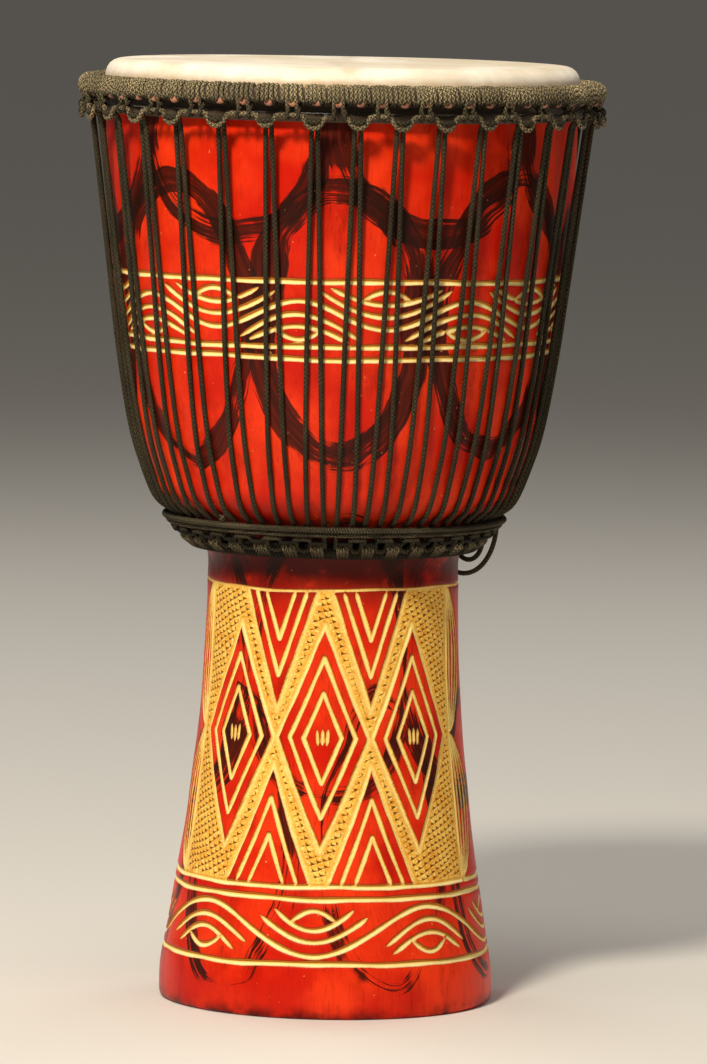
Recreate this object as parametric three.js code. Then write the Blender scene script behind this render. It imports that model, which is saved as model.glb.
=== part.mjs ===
// A djembe: a goblet drum carved from one log. A goatskin head is folded round a
// steel flesh ring and pulled down by a wrapped crown ring, which one long zigzag
// rope draws towards a second steel ring under the bowl.
//
// Millimetres, +Z up, origin at the centre of the base, front of the drum on -Y.
// Angles are measured round the drum from the front (-Y) towards +X.
import * as THREE from "three";

// ---- Driving dimensions ---------------------------------------------------
const DRUM_HEIGHT = 600;
const RIM_RADIUS = 150; // a 12 inch head
const RING_SEGMENTS = 32; // facets round everything that is turned

const SKIN_THICKNESS = 1.2;
const GAP = 0.3; // between pieces that touch
const FLAT_HEAD_RADIUS = 140; // the head rolls over the bearing edge outside this

// Outside of the carved log, as [radius, height], from the base to the rim.
const OUTSIDE = [
  [103.4, 0], [106, 1.4], [106.8, 5], [106.5, 18], [101.7, 49], [96.8, 80],
  [91.9, 111], [88.3, 142], [84.8, 173], [82.4, 204], [81, 235], [80.3, 266],
  [81, 288], [83.5, 295], [88, 301.5], [95, 307.5], [103.5, 314], [113, 322],
  [122.3, 344], [129.6, 367], [137.8, 414], [144, 461], [148.5, 512],
  [150, 553], [150, 588],
];
// Inside of the log, from the rim down to the base: bowl, throat, flared foot.
const INSIDE = [
  [133, 588], [133, 540], [130.5, 495], [124, 445], [113, 395], [99, 350],
  [80, 318], [66, 296], [62, 270], [64, 200], [70, 110], [80, 40], [90, 0],
];
// The bearing edge: the rounded rim that the skin is stretched over.
const BEARING_EDGE = { topZ: 598.5, topRadius: 139.5, innerRadius: 136.5, innerZ: 595.5 };

const FLESH_RING = { radius: 154.1, z: 570, rod: 2.3 };
const CROWN_RING = { radius: 161.3, z: 583, rod: 4 };
const BOTTOM_RING = { radius: 89.5, z: 294.5, rod: 3 };
const CROWN_CLOTH = { inner: 4.3, outer: 5.0 }; // distances from the ring's centre
const CROWN_BINDING = { inner: 5.4, outer: 7.4 };
const BOTTOM_BINDING = { inner: 3.5, outer: 4.6 };

const PAIRS = 34; // V-shaped rope pairs round the drum
const FIRST_PAIR_ANGLE = 2.9;
const ROPE_RADIUS = 1.6;
const STRAND_HALF_GAP_TOP = 0.63; // degrees, where the two strands touch
const STRAND_HALF_GAP_BOTTOM = 90 / PAIRS; // degrees, evenly spread at the waist
// One strand from the crown to the bottom ring, as [radius, height]: free down to the
// widest part of the bowl, along the wood to the waist, then free to the bottom turn.
const STRAND = [
  [160, 568.6], [159.2, 562], [146.2, 461], [139.9, 414], [132, 369], [124.6, 344],
  [115.2, 321.5], [104.8, 312.3], [95.6, 297.4],
];
const TOP_TURN_RISE = 1.8;
const BOTTOM_TURN = { radius: 95, z: 295.8 };

const CROWN_LOOP = { radius: 165.3, z: 570.5, dipZ: 563, cord: 1.5 };
const BOTTOM_LOOP = { radius: 101.8, z: 300.9, humpRadius: 103.1, humpZ: 303, cord: 1.5 };
const WAIST_UPPER = { radius: 108.3, z: 309.8, cord: 2.0 };
const WAIST_LOWER = { radius: 106, z: 306.5, cord: 1.6 };
const END_KNOT = { radius: 109.8, z: 314.7, size: 2.7, pair: -4 };

// Slack turns of the pull rope, which hang from the waist behind the right side.
const SLACK_TURNS = [
  { name: "slack_turn_outer", from: 107, to: 146, drop: 38.6 },
  { name: "slack_turn_inner", from: 118.5, to: 135, drop: 30 },
];
const SLACK = { radius: 109.4, topZ: 307.5, rope: 1.6, sides: 8, steps: 20 };

// ---- Materials ------------------------------------------------------------
const paintedWood = new THREE.MeshStandardMaterial({ color: 0xd8321a, roughness: 0.45, metalness: 0 });
const goatskin = new THREE.MeshStandardMaterial({ color: 0xf1e6cf, roughness: 0.6, metalness: 0 });
const ringSteel = new THREE.MeshStandardMaterial({ color: 0x6f7072, roughness: 0.4, metalness: 1 });
const blackRope = new THREE.MeshStandardMaterial({ color: 0x2e2a1e, roughness: 0.85, metalness: 0 });
const wrapCloth = new THREE.MeshStandardMaterial({ color: 0x6b3a28, roughness: 0.95, metalness: 0 });
const waistCord = new THREE.MeshStandardMaterial({ color: 0x4c4632, roughness: 0.8, metalness: 0 });

// ---- Helpers --------------------------------------------------------------
const degrees = (angle) => (angle * Math.PI) / 180;

/** A point at an angle (degrees), radius and height round the drum. */
function around(angle, radius, z) {
  const a = degrees(angle);
  return new THREE.Vector3(radius * Math.sin(a), -radius * Math.cos(a), z);
}

/** A solid of revolution about Z; the outline runs counter-clockwise in (radius, z). */
function turned(outline) {
  const points = outline.map(([radius, z]) => new THREE.Vector2(radius, z));
  const geometry = new THREE.LatheGeometry(points, RING_SEGMENTS);
  geometry.rotateX(Math.PI / 2);
  return geometry;
}

/** Points of an arc in (radius, z) about a ring's centre, angles in degrees from +radius. */
function arc(ring, size, from, to, steps) {
  const points = [];
  for (let i = 0; i <= steps; i += 1) {
    const a = degrees(from + ((to - from) * i) / steps);
    points.push([ring.radius + size * Math.cos(a), ring.z + size * Math.sin(a)]);
  }
  return points;
}

/** A round rod bent into a ring about Z. */
function ringRod(ring, size, sides) {
  const outline = arc(ring, size, 0, 360, sides);
  outline[sides] = outline[0];
  return turned(outline);
}

/** A sleeve round a ring, slit along its inner side, so that the ring can go in. */
function slitSleeve(ring, { inner, outer }, steps) {
  const slit = 25; // half-angle of the slit, which faces the drum's axis
  const outerFace = arc(ring, outer, slit - 180, 180 - slit, steps);
  const innerFace = arc(ring, inner, 180 - slit, slit - 180, steps);
  return turned([...outerFace, ...innerFace, outerFace[0]]);
}

/** A bent route with one cross-section at each of its points, square to the bend. */
class Route extends THREE.Curve {
  constructor(points) {
    super();
    this.points = points;
  }

  getPoint(t, target = new THREE.Vector3()) {
    const place = t * (this.points.length - 1);
    const i = Math.min(Math.floor(place), this.points.length - 2);
    return target.lerpVectors(this.points[i], this.points[i + 1], place - i);
  }

  getTangent(t, target = new THREE.Vector3()) {
    const last = this.points.length - 1;
    const i = Math.round(t * last);
    const here = this.points[i];
    const before = this.points[Math.max(i - 1, 0)].clone().sub(here).normalize();
    const after = this.points[Math.min(i + 1, last)].clone().sub(here).normalize();
    return target.copy(after.sub(before)).normalize();
  }

  getUtoTmapping(u) {
    return u;
  }
}

/** A rope of polygonal section along a list of points. */
function rope(points, radius, sides) {
  const corners = [];
  for (let i = 0; i < sides; i += 1) {
    const a = (2 * Math.PI * i) / sides;
    corners.push(new THREE.Vector2(radius * Math.cos(a), radius * Math.sin(a)));
  }
  return new THREE.ExtrudeGeometry(new THREE.Shape(corners), {
    steps: points.length - 1,
    extrudePath: new Route(points),
    bevelEnabled: false,
  });
}

/** Angle of a rope pair. They were set by hand, so a few at the front are off pitch. */
function pairAngle(pair) {
  const even = FIRST_PAIR_ANGLE + (360 * pair) / PAIRS;
  const turn = even - 360 * Math.round(even / 360);
  return even - 1.3 + 3.3 * Math.exp(-(((turn + 14) / 25) ** 2));
}

// ---- Sub-parts ------------------------------------------------------------
/** The log: bowl, throat and flared foot, hollow right through. */
function shellGeometry() {
  const edge = BEARING_EDGE;
  const roll = [[149.1, 592.5], [146.9, 595.6], [143.5, 597.7], [edge.topRadius, edge.topZ]];
  const innerBevel = [[edge.innerRadius, edge.topZ - 0.6], [RIM_RADIUS - 16, edge.innerZ]];
  return turned([...OUTSIDE, ...roll, ...innerBevel, ...INSIDE, OUTSIDE[0]]);
}

/** The skin: a flat head, a collar down the rim and a hook folded round the flesh ring. */
function drumheadGeometry() {
  const top = DRUM_HEIGHT;
  const under = top - SKIN_THICKNESS;
  const collar = RIM_RADIUS + GAP;
  const hookInner = FLESH_RING.rod + GAP;
  const hookOuter = hookInner + SKIN_THICKNESS;
  const hookEnd = 20;
  const underside = [
    [0, under], [FLAT_HEAD_RADIUS - 0.3, under], [143.8, top - 1.95], [147.2, top - 4.1],
    [149.45, top - 7.3], [collar, top - 11.8],
  ];
  const topside = [
    [collar + SKIN_THICKNESS, top - 11.5], [150.6, top - 6.8], [148.2, top - 3.2],
    [144.5, top - 0.8], [FLAT_HEAD_RADIUS, top], [0, top],
  ];
  const outside = arc(FLESH_RING, hookOuter, 180, 360 + hookEnd, 5);
  const inside = arc(FLESH_RING, hookInner, 360 + hookEnd, 180, 5);
  return turned([...underside, ...outside, ...inside, ...topside]);
}

/** Half the angle between the two strands of a pair, which spread towards the waist. */
function strandHalfGap(z) {
  const [, topZ] = STRAND[0];
  const down = Math.min((topZ - z) / (topZ - WAIST_UPPER.z), 1);
  return STRAND_HALF_GAP_TOP + (STRAND_HALF_GAP_BOTTOM - STRAND_HALF_GAP_TOP) * down;
}

/** One strand from the crown down to the bottom ring; side is -1 left or +1 right. */
function strand(pair, side) {
  const angle = pairAngle(pair);
  return STRAND.map(([radius, z]) => around(angle + side * strandHalfGap(z), radius, z));
}

/** The whole zigzag: up one strand, over the top, down the next and round the bottom. */
function lacingGeometry() {
  const [topRadius, topZ] = STRAND[0];
  const points = [];
  for (let pair = 0; pair < PAIRS; pair += 1) {
    const angle = pairAngle(pair);
    points.push(...strand(pair, -1).reverse());
    for (const [turn, lift] of [[-0.7, 0.7], [0, 1], [0.7, 0.7]]) {
      points.push(around(angle + turn * STRAND_HALF_GAP_TOP, topRadius, topZ + lift * TOP_TURN_RISE));
    }
    points.push(...strand(pair, 1));
    if (pair < PAIRS - 1) {
      const from = angle + STRAND_HALF_GAP_BOTTOM;
      const to = pairAngle(pair + 1) - STRAND_HALF_GAP_BOTTOM;
      for (const along of [0.22, 0.78]) {
        points.push(around(from + (to - from) * along, BOTTOM_TURN.radius, BOTTOM_TURN.z));
      }
    }
  }
  return rope(points, ROPE_RADIUS, 4);
}

/** The cord lashed under the crown ring, which dips in a small U at every rope pair. */
function crownLoopGeometry() {
  const { radius, z, dipZ, cord } = CROWN_LOOP;
  const dip = [[-1.9, z], [-1.4, z - 4], [-0.7, dipZ], [0.7, dipZ], [1.4, z - 4], [1.9, z]];
  const points = [];
  for (let pair = 0; pair < PAIRS; pair += 1) {
    for (const [offset, height] of dip) {
      points.push(around(pairAngle(pair) + offset, radius, height));
    }
  }
  return rope(points, cord, 4);
}

/** The cord lashed over the bottom ring, which humps up between the rope pairs. */
function bottomLoopGeometry() {
  const { radius, z, humpRadius, humpZ, cord } = BOTTOM_LOOP;
  const points = [];
  for (let pair = 0; pair < PAIRS; pair += 1) {
    const angle = pairAngle(pair);
    const between = (angle + pairAngle(pair + 1)) / 2;
    points.push(around(angle - 1.6, radius, z), around(angle + 1.6, radius, z));
    if (pair < PAIRS - 1) {
      points.push(around(between - 2.2, humpRadius, humpZ), around(between + 2.2, humpRadius, humpZ));
    }
  }
  return rope(points, cord, 4);
}

/** A turn of slack rope that hangs between two points of the waist as a round U. */
function slackTurnGeometry({ from, to, drop }) {
  const start = around(from, SLACK.radius, SLACK.topZ);
  const end = around(to, SLACK.radius, SLACK.topZ);
  const halfWidth = start.distanceTo(end) / 2;
  const leg = Math.max(0, drop - halfWidth);
  const points = leg > 0 ? [start.clone()] : [];
  for (let i = 0; i <= SLACK.steps; i += 1) {
    const a = (Math.PI * i) / SLACK.steps;
    const point = start.clone().lerp(end, (1 - Math.cos(a)) / 2);
    point.z -= leg + (drop - leg) * Math.sin(a);
    points.push(point);
  }
  if (leg > 0) points.push(end.clone());
  return rope(points, SLACK.rope, SLACK.sides);
}

/** The melted and knotted end of the rope, which sits on the waist cord. */
function endKnotGeometry() {
  const geometry = new THREE.SphereGeometry(END_KNOT.size, 10, 7);
  const place = around(pairAngle(END_KNOT.pair), END_KNOT.radius, END_KNOT.z);
  geometry.translate(place.x, place.y, place.z);
  return geometry;
}

// ---- Assembly -------------------------------------------------------------
const djembe = new THREE.Group();

function add(name, geometry, material) {
  const mesh = new THREE.Mesh(geometry, material);
  mesh.name = name;
  djembe.add(mesh);
}

add("shell", shellGeometry(), paintedWood);
add("drumhead", drumheadGeometry(), goatskin);
add("flesh_ring", ringRod(FLESH_RING, FLESH_RING.rod, 6), ringSteel);
add("crown_ring", ringRod(CROWN_RING, CROWN_RING.rod, 6), ringSteel);
add("crown_cloth", slitSleeve(CROWN_RING, CROWN_CLOTH, 8), wrapCloth);
add("crown_binding", slitSleeve(CROWN_RING, CROWN_BINDING, 8), blackRope);
add("crown_loop_cord", crownLoopGeometry(), blackRope);
add("lacing_rope", lacingGeometry(), blackRope);
add("bottom_ring", ringRod(BOTTOM_RING, BOTTOM_RING.rod, 6), ringSteel);
add("bottom_binding", slitSleeve(BOTTOM_RING, BOTTOM_BINDING, 6), blackRope);
add("bottom_loop_cord", bottomLoopGeometry(), blackRope);
add("waist_cord_upper", ringRod(WAIST_UPPER, WAIST_UPPER.cord, 6), waistCord);
add("waist_cord_lower", ringRod(WAIST_LOWER, WAIST_LOWER.cord, 6), waistCord);
add("rope_end_knot", endKnotGeometry(), waistCord);
for (const turn of SLACK_TURNS) {
  add(turn.name, slackTurnGeometry(turn), blackRope);
}

export default djembe;
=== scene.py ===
"""Looks of a carved, rope-tuned djembe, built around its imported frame.

Shapes are worked out in millimetres and turned into metres when a mesh is made. Angles go
round the drum in degrees from the front (-Y) towards +X, as in the CAD source.
"""
import math

import bpy
import numpy as np
from mathutils import Matrix, Vector, kdtree


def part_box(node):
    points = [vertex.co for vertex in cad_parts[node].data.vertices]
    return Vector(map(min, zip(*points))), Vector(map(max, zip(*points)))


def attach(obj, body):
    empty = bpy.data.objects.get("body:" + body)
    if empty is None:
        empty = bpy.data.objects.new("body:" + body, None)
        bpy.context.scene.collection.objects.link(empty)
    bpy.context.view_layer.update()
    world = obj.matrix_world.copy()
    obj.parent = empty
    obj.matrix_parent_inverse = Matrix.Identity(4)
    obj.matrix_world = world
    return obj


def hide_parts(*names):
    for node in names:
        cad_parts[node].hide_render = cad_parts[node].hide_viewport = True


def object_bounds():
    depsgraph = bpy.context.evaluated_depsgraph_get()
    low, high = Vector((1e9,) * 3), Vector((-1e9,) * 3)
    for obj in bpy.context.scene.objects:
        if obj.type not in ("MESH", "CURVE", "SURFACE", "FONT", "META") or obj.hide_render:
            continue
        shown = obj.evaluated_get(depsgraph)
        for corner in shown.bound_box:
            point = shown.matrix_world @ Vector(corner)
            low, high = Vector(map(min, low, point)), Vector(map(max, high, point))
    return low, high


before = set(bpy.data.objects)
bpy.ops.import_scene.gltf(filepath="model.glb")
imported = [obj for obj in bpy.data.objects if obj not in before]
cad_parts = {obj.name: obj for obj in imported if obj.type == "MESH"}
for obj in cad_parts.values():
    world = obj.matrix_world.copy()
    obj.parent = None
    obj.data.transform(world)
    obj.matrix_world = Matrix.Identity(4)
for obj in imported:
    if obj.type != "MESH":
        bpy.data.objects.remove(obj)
CAD_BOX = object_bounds()

MM = 0.001
BODY = "root"
RNG = np.random.default_rng(12)

# ---- Places taken from the frame ----
HEIGHT = CAD_BOX[1].z / MM


def ring_place(node, rod):
    """(radius, height) of the centre line of a ring-shaped CAD node whose rod has that radius."""
    low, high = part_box(node)
    return high.x / MM - rod, (low.z + high.z) / 2 / MM


CROWN_ROD, BOTTOM_ROD, FLESH_ROD = 4.0, 3.0, 2.3
CROWN_RING = ring_place("crown_ring", CROWN_ROD)
BOTTOM_RING = ring_place("bottom_ring", BOTTOM_ROD)
FLESH_RING = ring_place("flesh_ring", FLESH_ROD)
UPPER_CORD, LOWER_CORD = 2.0, 1.6
WAIST_UPPER = ring_place("waist_cord_upper", UPPER_CORD)
WAIST_LOWER = ring_place("waist_cord_lower", LOWER_CORD)

# ---- Dimensions repeated from the CAD source, in millimetres ----
OUTSIDE = np.array([
    (106.8, 5), (106.5, 18), (101.7, 49), (96.8, 80), (91.9, 111), (88.3, 142), (84.8, 173),
    (82.4, 204), (81, 235), (80.3, 266), (81, 288), (83.5, 295), (88, 301.5), (95, 307.5),
    (103.5, 314), (113, 322), (122.3, 344), (129.6, 367), (137.8, 414), (144, 461),
    (148.5, 512), (150, 553), (150, 588),
])
INSIDE = np.array([
    (90, 0), (80, 40), (70, 110), (64, 200), (62, 270), (66, 296), (80, 318), (99, 350),
    (113, 395), (124, 445), (130.5, 495), (133, 540), (133, 588),
])
BASE_EDGE = [(90, 0), (103.4, 0), (105.3, 0.7), (106.4, 2.2)]
RIM_EDGE = [
    (149.8, 590.5), (149.1, 592.8), (147.7, 595.1), (145.7, 596.8), (143.0, 598.0),
    (139.5, 598.5), (136.5, 597.9), (134.4, 595.7),
]
PAIRS = 34
FIRST_PAIR = 2.9
ROPE = 1.6
STRAND = np.array([
    (160, 568.6), (159.2, 562), (146.2, 461), (139.9, 414), (132, 369), (124.6, 344),
    (115.2, 321.5), (104.8, 312.3), (95.6, 297.4),
])
HALF_GAP_TOP, HALF_GAP_BOTTOM = 0.63, 90 / PAIRS
BOTTOM_TURN = (95.0, 295.8)
CROWN_LOOP = {"radius": 165.3, "z": 570.5, "cord": 1.5}
BOTTOM_LOOP = {"radius": 101.8, "z": 300.9, "hump": (103.1, 303.0), "cord": 1.5}
END_KNOT = {"radius": 109.8, "z": 314.7, "size": 2.6, "pair": -4}
SLACK_TURNS = [("slack_turn_outer", 107, 146, 38.6), ("slack_turn_inner", 118.5, 135, 30)]
SLACK = {"radius": 109.4, "top": 307.5, "rope": 1.6, "steps": 40}


# ---- Geometry helpers ----
def around(angle, radius, z):
    """Points at angles (degrees), radii and heights round the drum, as an array of rows."""
    a = np.radians(np.asarray(angle, float))
    x, y, z = np.broadcast_arrays(radius * np.sin(a), -radius * np.cos(a), np.asarray(z, float))
    return np.stack([x, y, z], -1)


def wood_radius(z):
    """Radius of the outside of the log at a height: a smooth curve through its outline."""
    zs, rs = OUTSIDE[:, 1], OUTSIDE[:, 0]
    slopes = np.gradient(rs, zs)
    i = np.clip(np.searchsorted(zs, z) - 1, 0, len(zs) - 2)
    step = zs[i + 1] - zs[i]
    t = np.clip((z - zs[i]) / step, 0, 1)
    rise = rs[i] * (2 * t**3 - 3 * t**2 + 1) + rs[i + 1] * (3 * t**2 - 2 * t**3)
    return rise + step * (slopes[i] * (t**3 - 2 * t**2 + t) + slopes[i + 1] * (t**3 - t**2))


def on_wood(path):
    """(angle, height) rows laid on the outside of the log."""
    path = np.asarray(path, float)
    return around(path[:, 0], wood_radius(path[:, 1]), path[:, 1])


def pair_angle(pair):
    """Angle of a rope pair: an even pitch, with the pairs at the front pushed to one side."""
    even = FIRST_PAIR + 360 * np.asarray(pair, float) / PAIRS
    turn = even - 360 * np.round(even / 360)
    return even - 1.3 + 3.3 * np.exp(-(((turn + 14) / 25) ** 2))


def smooth_path(points, spacing):
    """A Catmull-Rom curve through 3-D points, with points about `spacing` apart."""
    points = np.asarray(points, float)
    padded = np.vstack([2 * points[0] - points[1], points, 2 * points[-1] - points[-2]])
    rows = [points[:1]]
    for p0, p1, p2, p3 in zip(padded, padded[1:], padded[2:], padded[3:]):
        count = max(1, int(round(np.linalg.norm(p2 - p1) / spacing)))
        t = (np.arange(1, count + 1) / count)[:, None]
        rows.append(0.5 * (2 * p1 + (p2 - p0) * t + (2 * p0 - 5 * p1 + 4 * p2 - p3) * t**2
                           + (3 * p1 - p0 - 3 * p2 + p3) * t**3))
    return np.vstack(rows)


def lengths(points):
    """Distance along a polyline at each of its points."""
    return np.concatenate([[0], np.cumsum(np.linalg.norm(np.diff(points, axis=0), axis=1))])


def add_object(name, data):
    """A new object in the scene."""
    made = bpy.data.objects.new(name, data)
    bpy.context.scene.collection.objects.link(made)
    return made


def make_piece(name, points, faces, replaces, materials, uv=None, values=()):
    """A smooth mesh piece from millimetre points, which rides on the drum's one body."""
    mesh = bpy.data.meshes.new(name)
    mesh.from_pydata((np.asarray(points) * MM).tolist(), [], faces)
    mesh.polygons.foreach_set("use_smooth", np.ones(len(mesh.polygons), bool))
    if uv is not None:
        layer = mesh.uv_layers.new(name="run")
        layer.data.foreach_set("uv", np.asarray(uv, np.float32).ravel())
    for key, data in dict(values).items():
        kind = "FLOAT" if data.ndim == 1 else "FLOAT_VECTOR"
        field = "value" if data.ndim == 1 else "vector"
        attribute = mesh.attributes.new(key, kind, "POINT")
        attribute.data.foreach_set(field, data.astype(np.float32).ravel())
    for material in materials:
        mesh.materials.append(material)
    piece = add_object(name, mesh)
    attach(piece, BODY)
    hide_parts(*replaces)
    return piece


def make_strand(name, material, tubing, values=()):
    """A piece from the points, faces and UVs of a tube; it has its CAD node's name."""
    points, faces, uv = tubing
    return make_piece(name, points, faces, [name], [material], uv, values)


def grid_faces(rows, columns, close_rows=False):
    """Quads of a grid of rows by columns, as index rows; the columns go right round."""
    i = np.arange(rows if close_rows else rows - 1)[:, None]
    j = np.arange(columns)[None, :]
    i2, j2 = (i + 1) % rows, (j + 1) % columns
    corners = (i * columns + j, i * columns + j2, i2 * columns + j2, i2 * columns + j)
    return np.stack([np.broadcast_to(c, (i.shape[0], columns)) for c in corners], -1).reshape(-1, 4)


def tube_uv(i, j, along, sides):
    """UVs of a tube's quads: how far along (millimetres) and how far round (turns)."""
    uv = np.stack([along[[i, i, i + 1, i + 1]], np.stack([j, j + 1, j + 1, j]) / sides], -1)
    return uv.transpose(1, 0, 2).reshape(-1, 2)


def tube(points, radius, sides):
    """A capped tube along 3-D points, its sides carried along without twist."""
    count = len(points)
    tangents = np.gradient(points, axis=0)
    tangents /= np.linalg.norm(tangents, axis=1)[:, None]
    normals = np.empty_like(points)
    normal = np.cross(tangents[0], (0.0, 0.0, 1.0))
    if np.linalg.norm(normal) < 0.2:
        normal = np.cross(tangents[0], (1.0, 0.0, 0.0))
    for k in range(count):
        normal = normal - tangents[k] * (normal @ tangents[k])
        normal /= np.linalg.norm(normal)
        normals[k] = normal
    sideways = np.cross(tangents, normals)
    a = 2 * np.pi * np.arange(sides)[None, :, None] / sides
    ring = normals[:, None] * np.cos(a) + sideways[:, None] * np.sin(a)
    rows = points[:, None] + ring * radius
    along = lengths(points)
    i, j = np.divmod(np.arange((count - 1) * sides), sides)
    uv = tube_uv(i, j, along, sides)
    faces = grid_faces(count, sides).tolist()
    faces += [list(range(sides))[::-1], list(range((count - 1) * sides, count * sides))]
    cap_uv = np.concatenate([np.zeros((sides, 2)), np.full((sides, 2), (along[-1], 0.0))])
    return rows.reshape(-1, 3), faces, np.concatenate([uv, cap_uv])


def ring_tube(place, radius_at, steps, sides):
    """A closed tube round the drum; radius_at(phi, theta) gives its radius, phi the angle round
    the drum and theta the angle round the tube."""
    radius, z = place
    phi = 2 * np.pi * np.arange(steps) / steps
    theta = 2 * np.pi * np.arange(sides) / sides
    size = radius_at(phi[:, None], theta[None, :])
    r = radius + size * np.cos(theta)
    up = z + size * np.sin(theta)
    points = np.stack([r * np.sin(phi)[:, None], -r * np.cos(phi)[:, None], up], -1)
    faces = grid_faces(steps, sides, close_rows=True).tolist()
    i, j = np.divmod(np.arange(steps * sides), sides)
    along = np.arange(steps + 1) * (radius * 2 * np.pi / steps)
    return points.reshape(-1, 3), faces, tube_uv(i, j, along, sides)


# ---- Material graphs ----
PLAITS = 3.0
WAIST_Z = 292.0
# Painted ovals: how many round the drum, first angle, middle height, half angle, half height,
# half width of the brush, the radius of the log there and how dry the brush was. Sets that
# cross take two rows.
OVALS = [
    (7, 23.0, 556, 24.2, 62, 8.6, 149, 0.20),
    (4, 2.0, 441, 21.0, 84, 8.0, 141, 0.20),
    (4, 47.0, 443, 21.0, 86, 8.0, 141, 0.20),
    (6, -38.0, 108, 25.0, 90, 6.4, 93, 0.36),
    (5, -2.0, 222, 37.5, 88, 9.0, 84, 0.33),
]


def operator(operation, swapped=False):
    """A method of Value that adds a math node."""
    def act(a, b=0.0):
        return a.graph.math(operation, *((b, a) if swapped else (a, b)))
    return act


class Value:
    """A node's output; arithmetic with it adds nodes."""

    def __init__(self, graph, socket):
        self.graph, self.socket = graph, socket

    __add__, __radd__ = operator("ADD"), operator("ADD", True)
    __sub__, __rsub__ = operator("SUBTRACT"), operator("SUBTRACT", True)
    __mul__, __rmul__ = operator("MULTIPLY"), operator("MULTIPLY", True)
    __truediv__, __pow__, __abs__ = operator("DIVIDE"), operator("POWER"), operator("ABSOLUTE")


class Graph:
    """A material and short calls that add nodes to it."""

    def __init__(self, name):
        self.material = bpy.data.materials.new(name)
        self.material.use_nodes = True
        self.tree = self.material.node_tree

    def put(self, socket, value):
        """Links a socket, or sets a plain value on it."""
        if isinstance(value, Value):
            self.tree.links.new(value.socket, socket)
        elif isinstance(value, tuple) and len(value) == 3 and len(socket.default_value) == 4:
            socket.default_value = (*value, 1.0)
        else:
            socket.default_value = value

    def set(self, **values):
        """Sets sockets of the shader, named with _ for spaces, and returns the material."""
        shader = self.tree.nodes["Principled BSDF"]
        for name, value in values.items():
            self.put(shader.inputs[name.replace("_", " ")], value)
        return self.material

    def add_node(self, kind, inputs, settings):
        made = self.tree.nodes.new(kind)
        for name, value in settings.items():
            setattr(made, name, value)
        for key, value in inputs.items():
            self.put(made.inputs[key], value)
        return made

    def node(self, kind, inputs, output=0, **settings):
        """One output of a new node."""
        return Value(self, self.add_node(kind, inputs, settings).outputs[output])

    def split(self, vector):
        made = self.add_node("ShaderNodeSeparateXYZ", {0: vector}, {})
        return [Value(self, socket) for socket in made.outputs]

    def join(self, x, y, z=0.0):
        return self.node("ShaderNodeCombineXYZ", {0: x, 1: y, 2: z})

    def math(self, operation, a, b=0.0):
        return self.node("ShaderNodeMath", {0: a, 1: b}, operation=operation)

    def step(self, value, low, high, to_low=0.0, to_high=1.0):
        """A smooth step of a value from low to high."""
        inputs = {0: value, 1: low, 2: high, 3: to_low, 4: to_high}
        return self.node("ShaderNodeMapRange", inputs, interpolation_type="SMOOTHSTEP")

    def attribute(self, name, output="Fac"):
        return self.node("ShaderNodeAttribute", {}, output, attribute_name=name)

    def noise(self, vector, scale, detail=3.0, roughness=0.5):
        inputs = {"Vector": vector, "Scale": scale, "Detail": detail, "Roughness": roughness}
        return self.node("ShaderNodeTexNoise", inputs)

    def place(self):
        """The point of the surface, in millimetres."""
        point = self.node("ShaderNodeTexCoord", {}, "Object")
        return self.node("ShaderNodeVectorMath", {0: point, 3: 1 / MM}, operation="SCALE")

    def mix(self, factor, a, b):
        return self.node("ShaderNodeMix", {0: factor, 6: a, 7: b}, 2, data_type="RGBA")

    def bump(self, height, distance_mm, normal=None, strength=1.0):
        inputs = {"Height": height, "Distance": distance_mm * MM, "Strength": strength}
        if normal is not None:
            inputs["Normal"] = normal
        return self.node("ShaderNodeBump", inputs)


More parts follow.
